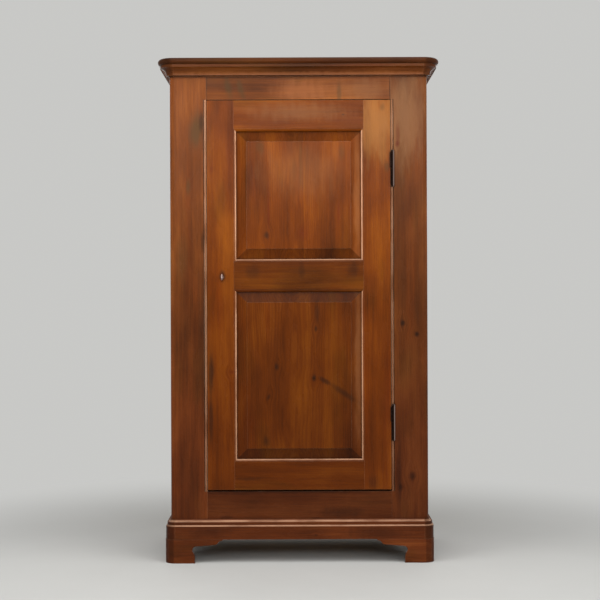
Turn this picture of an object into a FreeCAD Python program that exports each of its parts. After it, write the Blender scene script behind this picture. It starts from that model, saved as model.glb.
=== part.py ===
import FreeCAD, Part
import math
import operator
import os
from types import SimpleNamespace

import Sketcher
from FreeCAD import Rotation, Vector

# Bonnetiere: a narrow one-door press in varnished fruitwood, standing on bracket feet.
# Millimetres, Z up, the front faces -Y, X = 0 and Y = 0 in the middle of the overall box,
# and Z = 0 is the floor.

# Driving dimensions. Every one becomes a named cell of the sheet "Sizes".
DRIVING_SIZES = {
    # the case
    "overall_height": 1810,
    "carcass_width": 928,
    "carcass_depth": 500,
    "corner_radius": 16,
    "frame_thickness": 24,
    "frame_stile_width": 132,
    "top_rail_reveal": 81,
    "bottom_rail_reveal": 98,
    "side_thickness": 20,
    "back_thickness": 12,
    "floor_thickness": 18,
    "shelf_thickness": 18,
    "shelf_setback": 30,
    # joints in the case
    "frame_tenon_length": 40,
    "tenon_thickness": 8,
    "tenon_shoulder": 10,
    "tongue_thickness": 8,
    "tongue_length": 8,
    "housing_depth": 8,
    "back_rebate": 10,
    "back_tongue_length": 6,
    "back_tongue_thickness": 4,
    "joint_play": 0.2,
    "cleat_width": 20,
    "cleat_height": 25,
    "stop_thickness": 15,
    "stop_overlap": 12,
    "stop_length": 400,
    # bead worked on the inner arris of the frame stiles
    "bead_radius": 4,
    "quirk_width": 2.5,
    # cap board and cornice
    "cap_thickness": 22,
    "cap_round": 10,
    "cornice_projection": 43,
    "cornice_height": 42,
    "cornice_cap_overhang": 8,
    "cornice_foot_fillet": 5,
    "cornice_foot_height": 2,
    "cornice_quirk_floor": 3,
    "cornice_quirk_height": 3,
    "cornice_lip": 13,
    "cornice_hollow_height": 27,
    "cornice_hollow_radius": 26,
    "cornice_soffit": 4,
    # base moulding and bracket feet
    "base_height": 71,
    "base_projection": 19,
    "base_hollow_radius": 10,
    "base_fillet_height": 10,
    "base_ovolo_radius": 7,
    "base_ovolo_step": 5,
    "foot_height": 85,
    "foot_proud": 1,
    "foot_board": 22,
    "foot_span": 206,
    "foot_pad_width": 108,
    "foot_toe_height": 6,
    "foot_toe_lean": 2,
    "foot_waist": 10,
    "foot_waist_drop": 41,
    "foot_waist_radius": 52,
    "foot_wing_radius": 13,
    "foot_wing_drop": 25,
    "foot_wing_rise": 6,
    "foot_ogee_length": 28,
    "foot_ogee_drop": 12,
    "foot_ogee_middle": 16,
    "foot_ogee_radius": 20,
    "foot_tip": 4,
    "foot_block": 45,
    "foot_block_gap": 2,
    # the door
    "door_thickness": 23.5,
    "door_side_gap": 1.2,
    "door_top_gap": 2.5,
    "door_bottom_gap": 6,
    "door_stile_width": 106,
    "door_top_rail": 111.5,
    "door_middle_rail": 119,
    "door_bottom_rail": 111,
    "lower_panel_sight": 601,
    "door_tenon_length": 36,
    "stick_width": 9,
    "stick_fillet": 1,
    "panel_groove_depth": 10,
    "panel_groove_start": 10.5,
    "panel_groove_width": 7,
    "panel_play": 0.25,
    "panel_bevel_width": 37,
    "panel_bevel_fall": 7,
    "panel_field_step": 1.5,
    # barrel hinges
    "hinge_height": 132,
    "hinge_inset_top": 249,
    "hinge_inset_bottom": 247.5,
    "barrel_radius": 6,
    "barrel_offset": 7,
    "barrel_stand_off": 3,
    "button_height": 3,
    "button_radius": 3.5,
    "pin_radius": 3,
    "pin_length": 104,
    "running_fit": 0.05,
    "knuckle_gap": 0.5,
    "leaf_thickness": 2,
    "leaf_depth": 20,
    "leaf_height": 54,
    "leaf_setback": 3,
    "notch_play": 0.5,
    # lock and key
    "keyhole_drop": 5.5,
    "backset": 54.3,
    "lock_inset": 3,
    "lock_width": 68,
    "lock_height": 90,
    "lock_depth": 14,
    "lock_wall": 1.5,
    "lock_flange": 8,
    "bolt_thickness": 8,
    "bolt_height": 18,
    "bolt_length": 62,
    "bolt_lift": 7,
    "bolt_throw": 14,
    "bolt_end_play": 0.2,
    "talon_depth": 4.7,
    "talon_width": 17.5,
    "talon_lead": 2,
    "stump_radius": 3,
    "stump_reach": 22.5,
    "stump_lift": 17,
    "stump_play": 0.5,
    "key_shank_radius": 3,
    "key_bit_reach": 10.5,
    "key_bit_thickness": 3,
    "key_bow_height": 24,
    "key_bow_width": 18,
    "key_bow_thickness": 4,
    "key_bow_rim": 4.5,
    "key_neck": 8,
    "key_bow_overlap": 1,
    "key_collar": 1.5,
    "key_collar_width": 2,
    "key_collar_gap": 1,
    "key_tip_gap": 1,
    "keyhole_play": 1,
    "keeper_width": 18,
    "keeper_setback": 2,
    "keeper_ear": 12,
    "keeper_wall": 1.5,
    "keeper_play": 1,
}

SHELF_COUNT = 3
BACK_BOARD_COUNT = 3
DIAGONAL = math.sqrt(0.5)

# how far a cut runs on past the surface that it opens
OVERCUT = 1

OPERATIONS = {"+": operator.add, "-": operator.sub, "*": operator.mul, "/": operator.truediv}

LEFT, RIGHT = -1, 1
SIDE_NAMES = {LEFT: "left", RIGHT: "right"}

# An extrusion runs up its axis from the plane that the axis crosses. The XZ plane faces -Y.
PLANES = {"X": ("YZ_Plane", 1), "Y": ("XZ_Plane", -1), "Z": ("XY_Plane", 1)}
TURN_TO_AXIS = {
    "X": Rotation(Vector(0, 1, 0), 90),
    "Y": Rotation(Vector(1, 0, 0), -90),
    "Z": Rotation(),
}


class Size:
    """A length that carries its expression in the sheet and its value in millimetres."""

    def __init__(self, text, value):
        self.text = text
        self.value = value

    @staticmethod
    def of(number):
        if isinstance(number, Size):
            return number
        return Size(f"({float(number):.9f})", float(number))

    def combine(self, sign, other, swapped=False):
        left, right = (Size.of(other), self) if swapped else (self, Size.of(other))
        return Size(f"({left.text} {sign} {right.text})", OPERATIONS[sign](left.value, right.value))

    def __add__(self, other):
        return self.combine("+", other)

    def __radd__(self, other):
        return self.combine("+", other, swapped=True)

    def __sub__(self, other):
        return self.combine("-", other)

    def __rsub__(self, other):
        return self.combine("-", other, swapped=True)

    def __mul__(self, other):
        return self.combine("*", other)

    def __rmul__(self, other):
        return self.combine("*", other, swapped=True)

    def __truediv__(self, other):
        return self.combine("/", other)

    def __neg__(self):
        return self * -1


doc = FreeCAD.newDocument("bonnetiere")
nodes = []


def fill_sheet():
    """Write the driving sizes to the sheet and return them as named sizes."""
    sheet = doc.addObject("Spreadsheet::Sheet", "Sizes")
    named = SimpleNamespace()
    for row, (name, value) in enumerate(DRIVING_SIZES.items(), start=1):
        sheet.set(f"A{row}", name)
        sheet.set(f"B{row}", str(value))
        sheet.setAlias(f"B{row}", name)
        setattr(named, name, Size(f"Sizes.{name}", value))
    return named


size = fill_sheet()


# ---------------------------------------------------------------- modelling helpers

def bind(thing, prop, length):
    thing.setExpression(prop, Size.of(length).text)


def new_body(label, own_node=True):
    body = doc.addObject("PartDesign::Body", label)
    body.Label = label
    if own_node:
        nodes.append(body)
    return body


def place(thing, x, y, z, axis="Z"):
    thing.Placement = FreeCAD.Placement(Vector(), TURN_TO_AXIS[axis])
    bind(thing, "Placement.Base.x", x)
    bind(thing, "Placement.Base.y", y)
    bind(thing, "Placement.Base.z", z)


def block(body, x_range, y_range, z_range, cut=False):
    """Add or cut a box between three pairs of coordinates, each pair in rising order."""
    kind = "Subtractive" if cut else "Additive"
    box = body.newObject(f"PartDesign::{kind}Box", f"{body.Name}_block")
    place(box, x_range[0], y_range[0], z_range[0])
    for prop, (low, high) in zip(("Length", "Width", "Height"), (x_range, y_range, z_range)):
        bind(box, prop, Size.of(high) - low)
    return box


def rod(body, start, length, radius, axis="Z", cut=False):
    """Add or cut a cylinder from the point start, along an axis."""
    kind = "Subtractive" if cut else "Additive"
    cylinder = body.newObject(f"PartDesign::{kind}Cylinder", f"{body.Name}_rod")
    place(cylinder, *start, axis)
    bind(cylinder, "Radius", radius)
    bind(cylinder, "Height", length)
    return cylinder


def new_sketch(body, plane_role, offset, shift=0):
    """A sketch on one of the body's own planes, moved along its normal and its own X."""
    sketch = body.newObject("Sketcher::SketchObject", f"{body.Name}_sketch")
    plane = next(item for item in body.Origin.OriginFeatures if item.Role == plane_role)
    sketch.AttachmentSupport = [(plane, "")]
    sketch.MapMode = "FlatFace"
    bind(sketch, "AttachmentOffset.Base.x", shift)
    bind(sketch, "AttachmentOffset.Base.z", offset)
    return sketch


def arc_between(start, end, radius, turn):
    """An arc of a circle that leaves start and reaches end, turning left (1) or right (-1)."""
    chord = end - start
    height = math.sqrt(max(radius ** 2 - (chord.Length / 2) ** 2, 0))
    normal = Vector(-chord.y, chord.x, 0).normalize()
    centre = (start + end) * 0.5 + normal * height * turn
    angles = [math.atan2(point.y - centre.y, point.x - centre.x) for point in (start, end)]
    first, last = angles if turn > 0 else reversed(angles)
    if last <= first:
        last += 2 * math.pi
    return Part.ArcOfCircle(Part.Circle(centre, Vector(0, 0, 1), radius), first, last)


def draw(sketch, corners):
    """Draw a closed outline and tie its corners to the sheet.

    A corner is (across, up), reached by a straight line, or (across, up, radius, turn),
    reached by an arc that turns left (1) or right (-1).
    """
    corners = [(Size.of(corner[0]), Size.of(corner[1]), *corner[2:]) for corner in corners]
    points = [Vector(corner[0].value, corner[1].value, 0) for corner in corners]
    edges = []
    for index, corner in enumerate(corners):
        start, end = points[index - 1], points[index]
        if len(corner) == 2:
            curve, turn = Part.LineSegment(start, end), 1
        else:
            radius, turn = Size.of(corner[2]), corner[3]
            curve = arc_between(start, end, radius.value, turn)
        number = sketch.addGeometry(curve, False)
        # the numbers that the sketch gives to the two ends of the edge
        first_end, last_end = (1, 2) if turn > 0 else (2, 1)
        edges.append((number, first_end, last_end))
    for index, corner in enumerate(corners):
        before, edge = edges[index - 1], edges[index]
        sketch.addConstraint(Sketcher.Constraint("Coincident", before[0], before[2], edge[0], edge[1]))
        for kind, length in (("DistanceX", corner[0]), ("DistanceY", corner[1])):
            rule = Sketcher.Constraint(kind, -1, 1, edge[0], edge[2], length.value)
            sketch.setExpression(f"Constraints[{sketch.addConstraint(rule)}]", length.text)
        if len(corner) == 4:
            radius = Size.of(corner[2])
            rule = Sketcher.Constraint("Radius", edge[0], radius.value)
            sketch.setExpression(f"Constraints[{sketch.addConstraint(rule)}]", radius.text)


def extrude(body, axis, low, high, *outlines, cut=False):
    """Extrude closed outlines along an axis from low to high, as material or as a cut."""
    role, facing = PLANES[axis]
    start = low if facing > 0 else high
    sketch = new_sketch(body, role, Size.of(start) * facing)
    for outline in outlines:
        draw(sketch, outline)
    kind = "Pocket" if cut else "Pad"
    feature = body.newObject(f"PartDesign::{kind}", f"{body.Name}_{kind.lower()}")
    feature.Profile = sketch
    feature.Reversed = cut
    bind(feature, "Length", Size.of(high) - low)
    return feature


def revolve(body, axis_x, axis_y, outline, angle=360, backwards=False):
    """Turn an outline, given as (radius, height), about an upright axis."""
    sketch = new_sketch(body, "XZ_Plane", -Size.of(axis_y), axis_x)
    draw(sketch, outline)
    feature = body.newObject("PartDesign::Revolution", f"{body.Name}_turning")
    feature.Profile = sketch
    feature.ReferenceAxis = (sketch, ["V_Axis"])
    feature.Angle = angle
    feature.Reversed = backwards
    return feature


def rectangle(across, up):
    return [(across[0], up[0]), (across[1], up[0]), (across[1], up[1]), (across[0], up[1])]


def between(side, inner, outer):
    """The X range, in rising order, between two distances from the middle on one side."""
    return (inner, outer) if side == RIGHT else (-Size.of(outer), -Size.of(inner))


def group_node(label, pieces):
    """One node of like pieces that stay separate solids."""
    group = doc.addObject("Part::Compound", label)
    group.Label = label
    group.Links = pieces
    nodes.append(group)


# ---------------------------------------------------------------- places worked out from the sizes

half_width = size.carcass_width / 2
face = -(size.carcass_depth - size.cornice_projection) / 2
frame_back = face + size.frame_thickness
case_back = face + size.carcass_depth
back_board_front = case_back - size.back_thickness
opening_half = half_width - size.frame_stile_width
side_inner = half_width - size.side_thickness
cap_bottom = size.overall_height - size.cap_thickness
opening_bottom = size.foot_height + size.base_height + size.bottom_rail_reveal
opening_top = cap_bottom - size.cornice_height - size.top_rail_reveal
arc_centre_x = half_width - size.corner_radius
arc_centre_y = face + size.corner_radius
tenon_front = face + size.frame_thickness / 2 - size.tenon_thickness / 2
tenon_back = tenon_front + size.tenon_thickness

door_half = opening_half - size.door_side_gap
door_back = face + size.door_thickness
door_bottom = opening_bottom + size.door_bottom_gap
door_top = opening_top - size.door_top_gap
sight_half = door_half - size.door_stile_width
root_half = sight_half + size.stick_width
lower_sight = (door_bottom + size.door_bottom_rail,
               door_bottom + size.door_bottom_rail + size.lower_panel_sight)
upper_sight = (lower_sight[1] + size.door_middle_rail, door_top - size.door_top_rail)
rail_roots = {
    "door_rail_bottom": (door_bottom, lower_sight[0] - size.stick_width),
    "door_rail_middle": (lower_sight[1] + size.stick_width, upper_sight[0] - size.stick_width),
    "door_rail_top": (upper_sight[1] + size.stick_width, door_top),
}
groove_front = face + size.panel_groove_start
groove_back = groove_front + size.panel_groove_width
door_tenon_front = face + size.door_thickness / 2 - size.tenon_thickness / 2
door_tenon_back = door_tenon_front + size.tenon_thickness

barrel_x = opening_half + size.barrel_offset
barrel_y = face - size.barrel_stand_off
pin_bore_depth = size.pin_length / 2 + size.knuckle_gap
hinge_centres = {
    "upper": opening_top - size.hinge_inset_top,
    "lower": opening_bottom + size.hinge_inset_bottom,
}

key_x = -door_half + size.backset
key_z = (lower_sight[1] + upper_sight[0]) / 2 - size.keyhole_drop
lock_outer = -door_half + size.lock_inset
lock_inner = lock_outer + size.lock_width
lock_range = (key_z - size.lock_height / 2, key_z + size.lock_height / 2)
lock_back = door_back + size.lock_depth
bolt_middle_y = (door_back + lock_back) / 2
bolt_range_y = (bolt_middle_y - size.bolt_thickness / 2, bolt_middle_y + size.bolt_thickness / 2)
bolt_range_z = (key_z + size.bolt_lift, key_z + size.bolt_lift + size.bolt_height)
stump_x = lock_outer + size.stump_reach
stump_z = key_z + size.stump_lift
keeper_outer = -opening_half - size.keeper_setback
keeper_hood = (bolt_range_z[0] - size.keeper_play - size.keeper_wall,
               bolt_range_z[1] + size.keeper_play + size.keeper_wall)
keeper_ears = (keeper_hood[0] - size.keeper_ear, keeper_hood[1] + size.keeper_ear)


# ---------------------------------------------------------------- moulding profiles

def cornice_profile():
    """Cornice section, counter-clockwise, as (projection from the case, height)."""
    bottom = cap_bottom - size.cornice_height
    quirk = bottom + size.cornice_foot_height
    lip = quirk + size.cornice_quirk_height
    soffit = lip + size.cornice_hollow_height
    top_fillet = size.cornice_projection - size.cornice_cap_overhang
    return [
        (0, bottom),
        (size.cornice_foot_fillet, bottom),
        (size.cornice_foot_fillet, quirk),
        (size.cornice_quirk_floor, quirk),
        (size.cornice_quirk_floor, lip),
        (size.cornice_lip, lip),
        (top_fillet - size.cornice_soffit, soffit, size.cornice_hollow_radius, -1),
        (top_fillet, soffit),
        (top_fillet, cap_bottom),
        (0, cap_bottom),
    ]


def base_profile():
    """Base section, counter-clockwise: plain fascia, ovolo, fillet and hollow."""
    bottom = size.foot_height
    top = size.foot_height + size.base_height
    fillet = size.base_projection - size.base_ovolo_step
    fillet_top = top - size.base_hollow_radius
    fillet_bottom = fillet_top - size.base_fillet_height
    return [
        (0, bottom),
        (size.base_projection, bottom),
        (size.base_projection, fillet_bottom - size.base_ovolo_radius),
        (fillet, fillet_bottom, size.base_ovolo_radius, 1),
        (fillet, fillet_top),
        (fillet - size.base_hollow_radius, top, size.base_hollow_radius, -1),
        (0, top),
    ]


def lay_profile(profile, origin, side):
    """Move a profile to start at a coordinate, growing up (1) or down (-1) the axis."""
    return [(origin + side * corner[0], corner[1], *(corner[2:3]), *(side * turn for turn in corner[3:]))
            for corner in profile]


def moulding_set(name, profile):
    """A moulding planted on the front and sides, with a turned block at each front corner."""
    front = new_body(f"{name}_front")
    extrude(front, "X", -arc_centre_x, arc_centre_x, lay_profile(profile, face, -1))
    corners = []
    for side, side_name in SIDE_NAMES.items():
        run = new_body(f"{name}_side_{side_name}")
        extrude(run, "Y", arc_centre_y, case_back, lay_profile(profile, side * half_width, side))
        corner = new_body(f"{name}_corner_{side_name}", own_node=False)
        turned = lay_profile(profile, side * size.corner_radius, side)
        revolve(corner, side * arc_centre_x, arc_centre_y, turned, 90, backwards=side == RIGHT)
        corners.append(corner)
    group_node(f"{name}_corners", corners)


# ---------------------------------------------------------------- the case

def make_frame_stile(side):
    stile = new_body(f"frame_stile_{SIDE_NAMES[side]}")
    inner = side * opening_half
    outer = side * half_width
    tongue_low = outer - side * (size.side_thickness / 2 - size.tongue_thickness / 2)
    tongue_high = outer - side * (size.side_thickness / 2 + size.tongue_thickness / 2)
    plan = [
        (inner, face),
        (side * arc_centre_x, face),
        (outer, arc_centre_y, size.corner_radius, side),
        (outer, frame_back),
        (tongue_low, frame_back),
        (tongue_low, frame_back - size.tongue_length),
        (tongue_high, frame_back - size.tongue_length),
        (tongue_high, frame_back),
        (inner, frame_back),
    ]
    extrude(stile, "Z", size.foot_height, cap_bottom, plan)
    mortise = between(side, opening_half, opening_half + size.frame_tenon_length)
    for low, high in ((opening_top, cap_bottom), (size.foot_height, opening_bottom)):
        tenon = (low + size.tenon_shoulder, high - size.tenon_shoulder)
        block(stile, mortise, (tenon_front, tenon_back), tenon, cut=True)
    crown = inner + side * size.bead_radius
    quirk_inner = inner + side * 2 * size.bead_radius
    quirk_outer = quirk_inner + side * size.quirk_width
    bead_depth = face + size.bead_radius
    bead = [
        (inner - side * OVERCUT, face - OVERCUT),
        (quirk_outer, face - OVERCUT),
        (quirk_outer, bead_depth),
        (quirk_inner, bead_depth),
        (crown, face, size.bead_radius, -side),
        (inner, bead_depth, size.bead_radius, -side),
        (inner - side * OVERCUT, bead_depth),
    ]
    extrude(stile, "Z", opening_bottom, opening_top, bead, cut=True)
    return stile


def leaf_span(centre, up):
    """The heights between which the leaf above (1) or below (-1) the knuckle joint lies."""
    near = centre + up * (size.knuckle_gap / 2 + size.leaf_setback)
    far = near + up * size.leaf_height
    return (near, far) if up > 0 else (far, near)


def seat_hinge_leaves(stile, edge_x, inward, up):
    """Let one leaf of each hinge into a stile's edge."""
    floor_x = edge_x + inward * size.leaf_thickness
    recess = (edge_x, floor_x) if inward > 0 else (floor_x, edge_x)
    for centre in hinge_centres.values():
        block(stile, recess, (face, face + size.leaf_depth), leaf_span(centre, up), cut=True)


def notch_for_barrels(stile):
    """Hollow the stile's face behind each hinge barrel."""
    reach = size.hinge_height / 2 + size.notch_play
    for centre in hinge_centres.values():
        start = (barrel_x, barrel_y, centre - reach)
        rod(stile, start, 2 * reach, size.barrel_radius + size.notch_play, "Z", cut=True)


def make_frame_rail(name, low, high):
    rail = new_body(name)
    block(rail, (-opening_half, opening_half), (face, frame_back), (low, high))
    reach = opening_half + size.frame_tenon_length - size.joint_play
    height = (low + size.tenon_shoulder + size.joint_play, high - size.tenon_shoulder - size.joint_play)
    block(rail, (-reach, reach), (tenon_front, tenon_back), height)


def make_case_side(side):
    board = new_body(f"side_{SIDE_NAMES[side]}")
    height = (size.foot_height, cap_bottom)
    block(board, between(side, side_inner, half_width), (frame_back, case_back), height)
    middle = half_width - size.side_thickness / 2
    tongue = between(side, middle - size.tongue_thickness / 2, middle + size.tongue_thickness / 2)
    block(board, tongue, (frame_back - size.tongue_length + size.joint_play, frame_back), height)
    rebate = between(side, side_inner, side_inner + size.back_rebate)
    block(board, rebate, (back_board_front, case_back), height, cut=True)
    housing = between(side, side_inner, side_inner + size.housing_depth)
    floor_height = (opening_bottom - size.floor_thickness, opening_bottom)
    block(board, housing, (frame_back, back_board_front), floor_height, cut=True)


def make_back_boards():
    """Upright boards, tongued and grooved together, in the rebates of the sides."""
    back_half = side_inner + size.back_rebate - size.joint_play
    pitch = 2 * back_half / BACK_BOARD_COUNT
    middle_y = case_back - size.back_thickness / 2
    tongue = (middle_y - size.back_tongue_thickness / 2, middle_y + size.back_tongue_thickness / 2)
    height = (size.foot_height, cap_bottom)
    for number in range(BACK_BOARD_COUNT):
        board = new_body(f"back_board_{number + 1}")
        left = -back_half + pitch * number
        right = left + pitch
        block(board, (left, right), (back_board_front, case_back), height)
        if number > 0:
            block(board, (left, left + size.back_tongue_length + size.joint_play), tongue, height, cut=True)
        if number < BACK_BOARD_COUNT - 1:
            block(board, (right, right + size.back_tongue_length), tongue, height)


def make_inside():
    floor = new_body("bottom_board")
    floor_half = side_inner + size.housing_depth - size.joint_play
    floor_height = (opening_bottom - size.floor_thickness, opening_bottom)
    block(floor, (-floor_half, floor_half), (frame_back, back_board_front), floor_height)
    pitch = (cap_bottom - opening_bottom) / (SHELF_COUNT + 1)
    depth = (frame_back + size.shelf_setback, back_board_front)
    for number in range(1, SHELF_COUNT + 1):
        top = opening_bottom + pitch * number
        shelf = new_body(f"shelf_{number}")
        shelf_half = side_inner - size.joint_play
        underside = top - size.shelf_thickness
        block(shelf, (-shelf_half, shelf_half), depth, (underside, top))
        for side, side_name in SIDE_NAMES.items():
            cleat = new_body(f"shelf_cleat_{side_name}_{number}")
            across = between(side, side_inner - size.cleat_width, side_inner)
            block(cleat, across, depth, (underside - size.cleat_height, underside))
    stop_half = size.stop_length / 2
    stop_depth = (frame_back, frame_back + size.stop_thickness)
    upper = new_body("door_stop_top")
    upper_height = (opening_top - size.stop_overlap, opening_top + size.stop_overlap)
    block(upper, (-stop_half, stop_half), stop_depth, upper_height)
    lower = new_body("door_stop_bottom")
    block(lower, (-stop_half, stop_half), stop_depth, (opening_bottom, opening_bottom + size.stop_overlap))


def make_cap_board():
    """The top board, whose front and side edges are worked to a half round."""
    cap = new_body("top_board")
    reach = half_width + size.cornice_projection
    front = face - size.cornice_projection
    round_plan = size.corner_radius + size.cornice_projection
    plan = [
        (-reach, case_back),
        (-reach, arc_centre_y),
        (-arc_centre_x, front, round_plan, 1),
        (arc_centre_x, front),
        (reach, arc_centre_y, round_plan, 1),
        (reach, case_back),
    ]
    pad = extrude(cap, "Z", cap_bottom, size.overall_height, plan)
    doc.recompute()
    rim = []
    for number, edge in enumerate(pad.Shape.Edges, start=1):
        box = edge.BoundBox
        if box.ZLength < OVERCUT and box.YMin < case_back.value - OVERCUT:
            rim.append(f"Edge{number}")
    rounding = cap.newObject("PartDesign::Fillet", "top_board_rounding")
    rounding.Base = (pad, rim)
    bind(rounding, "Radius", size.cap_round)


# ---------------------------------------------------------------- bracket feet

foot_projection = size.base_projection + size.foot_proud
foot_outer = half_width + foot_projection
foot_inner = foot_outer - size.foot_board
foot_front = face - foot_projection


def bracket_cutaway(outer_edge, toward):
    """The outline cut from under a bracket's wing, from the pad to the ogee at its tip."""
    pad_edge = outer_edge + toward * size.foot_pad_width
    tip = outer_edge + toward * size.foot_span
    wing_height = size.foot_height - size.foot_wing_drop
    ogee_height = size.foot_height - size.foot_ogee_drop
    return [
        (pad_edge, -OVERCUT),
        (pad_edge - toward * size.foot_toe_lean, size.foot_toe_height),
        (pad_edge - toward * size.foot_waist, size.foot_height - size.foot_waist_drop,
         size.foot_waist_radius, toward),
        (pad_edge + toward * size.foot_toe_lean, wing_height, size.foot_wing_radius, -toward),
        (tip - toward * size.foot_ogee_length, wing_height + size.foot_wing_rise),
        (tip - toward * size.foot_ogee_middle, ogee_height, size.foot_wing_radius, toward),
        (tip, size.foot_height - size.foot_tip, size.foot_ogee_radius, -toward),
        (tip + toward * OVERCUT, size.foot_height - size.foot_tip),
        (tip + toward * OVERCUT, -OVERCUT),
    ]


def make_brackets():
    bend = size.corner_radius + foot_projection
    height = size.foot_height
    for side, side_name in SIDE_NAMES.items():
        mitre_x = side * (arc_centre_x + DIAGONAL * bend)
        mitre_y = arc_centre_y - DIAGONAL * bend
        inner_corner = (side * foot_inner, foot_front + size.foot_board)
        wing_end = side * (foot_outer - size.foot_span)
        wing = new_body(f"foot_front_{side_name}")
        plan = [
            (wing_end, foot_front),
            (side * arc_centre_x, foot_front),
            (mitre_x, mitre_y, bend, side),
            inner_corner,
            (wing_end, foot_front + size.foot_board),
        ]
        extrude(wing, "Z", 0, height, plan)
        cutaway = bracket_cutaway(side * foot_outer, -side)
        extrude(wing, "Y", foot_front - OVERCUT, foot_front + size.foot_board + OVERCUT, cutaway, cut=True)

        fore = new_body(f"foot_fore_side_{side_name}")
        fore_end = foot_front + size.foot_span
        plan = [
            (side * foot_outer, fore_end),
            (side * foot_inner, fore_end),
            inner_corner,
            (mitre_x, mitre_y),
            (side * foot_outer, arc_centre_y, bend, side),
        ]
        extrude(fore, "Z", 0, height, plan)
        across = between(side, foot_inner - OVERCUT, foot_outer + OVERCUT)
        extrude(fore, "X", *across, bracket_cutaway(foot_front, 1), cut=True)

        rear = new_body(f"foot_rear_side_{side_name}")
        depth = (case_back - size.foot_span, case_back)
        block(rear, between(side, foot_inner, foot_outer), depth, (0, height))
        extrude(rear, "X", *across, bracket_cutaway(case_back, -1), cut=True)


def make_glue_blocks():
    """Four square blocks glued in the corners behind the brackets, clear of the floor."""
    blocks = []
    near = foot_front + size.foot_board
    for side, side_name in SIDE_NAMES.items():
        for end, start_y in (("front", near), ("rear", case_back - size.foot_block)):
            piece = doc.addObject("Part::Box", f"glue_block_{end}_{side_name}")
            start_x = between(side, foot_inner - size.foot_block, foot_inner)[0]
            place(piece, start_x, start_y, size.foot_block_gap)
            bind(piece, "Length", size.foot_block)
            bind(piece, "Width", size.foot_block)
            bind(piece, "Height", size.foot_height - size.foot_block_gap)
            blocks.append(piece)
    group_node("foot_glue_blocks", blocks)


# ---------------------------------------------------------------- the door

def lip_sections(root, sight):
    """The two lips beside the panel groove: the moulded front one and the plain back one.

    root and sight are positions across the member; the moulding runs from one to the other.
    """
    toward = 1 if sight.value > root.value else -1
    radius = size.stick_width - size.stick_fillet
    shoulder = face + size.stick_fillet
    front = [
        (root, shoulder),
        (root + toward * size.stick_fillet, shoulder),
        (sight, shoulder + radius, radius, toward),
        (sight, groove_front),
        (root, groove_front),
    ]
    back = rectangle((root, sight), (groove_back, door_back))
    return front, back


def swap(outline):
    """Exchange the two axes of an outline, so that its arcs turn the other way."""
    return [(corner[1], corner[0], *corner[2:3], *(-turn for turn in corner[3:])) for corner in outline]


def make_door_stile(name, side):
    stile = new_body(name)
    height = (door_bottom, door_top)
    block(stile, between(side, root_half, door_half), (face, door_back), height)
    groove = between(side, root_half, root_half + size.panel_groove_depth - size.stick_width)
    block(stile, groove, (groove_front, groove_back), height, cut=True)
    root, sight = side * root_half, side * sight_half
    for low, high in (lower_sight, upper_sight):
        start, end = low - size.stick_width, high + size.stick_width
        extrude(stile, "Z", start, end, *lip_sections(root, sight))
        mitres = (
            [(root, start), (sight, low), (sight, start - OVERCUT), (root, start - OVERCUT)],
            [(root, end), (sight, high), (sight, end + OVERCUT), (root, end + OVERCUT)],
        )
        extrude(stile, "Y", face - OVERCUT, door_back + OVERCUT, *mitres, cut=True)
    mortise = between(side, root_half, root_half + size.door_tenon_length)
    for low, high in rail_roots.values():
        tenon = (low + size.tenon_shoulder, high - size.tenon_shoulder)
        block(stile, mortise, (door_tenon_front, door_tenon_back), tenon, cut=True)
    return stile


def make_door_rail(name, moulded_edges):
    """A rail between the stiles; moulded_edges holds (root height, sight height) pairs."""
    rail = new_body(name)
    low, high = rail_roots[name]
    block(rail, (-root_half, root_half), (face, door_back), (low, high))
    for root, sight in moulded_edges:
        extrude(rail, "X", -root_half, root_half, *(swap(part) for part in lip_sections(root, sight)))
        beyond = sight + (OVERCUT if sight.value > root.value else -OVERCUT)
        end = root_half + OVERCUT
        mitres = [
            [(side * root_half, root), (side * sight_half, sight),
             (side * sight_half, beyond), (side * end, beyond), (side * end, root)]
            for side in SIDE_NAMES
        ]
        extrude(rail, "Y", face - OVERCUT, door_back + OVERCUT, *mitres, cut=True)
        depth = size.panel_groove_depth - size.stick_width
        groove = (root - depth, root) if sight.value > root.value else (root, root + depth)
        block(rail, (-root_half, root_half), (groove_front, groove_back), groove, cut=True)
    reach = root_half + size.door_tenon_length - size.joint_play
    tenon = (low + size.tenon_shoulder + size.joint_play, high - size.tenon_shoulder - size.joint_play)
    block(rail, (-reach, -root_half), (door_tenon_front, door_tenon_back), tenon)
    block(rail, (root_half, reach), (door_tenon_front, door_tenon_back), tenon)


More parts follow.
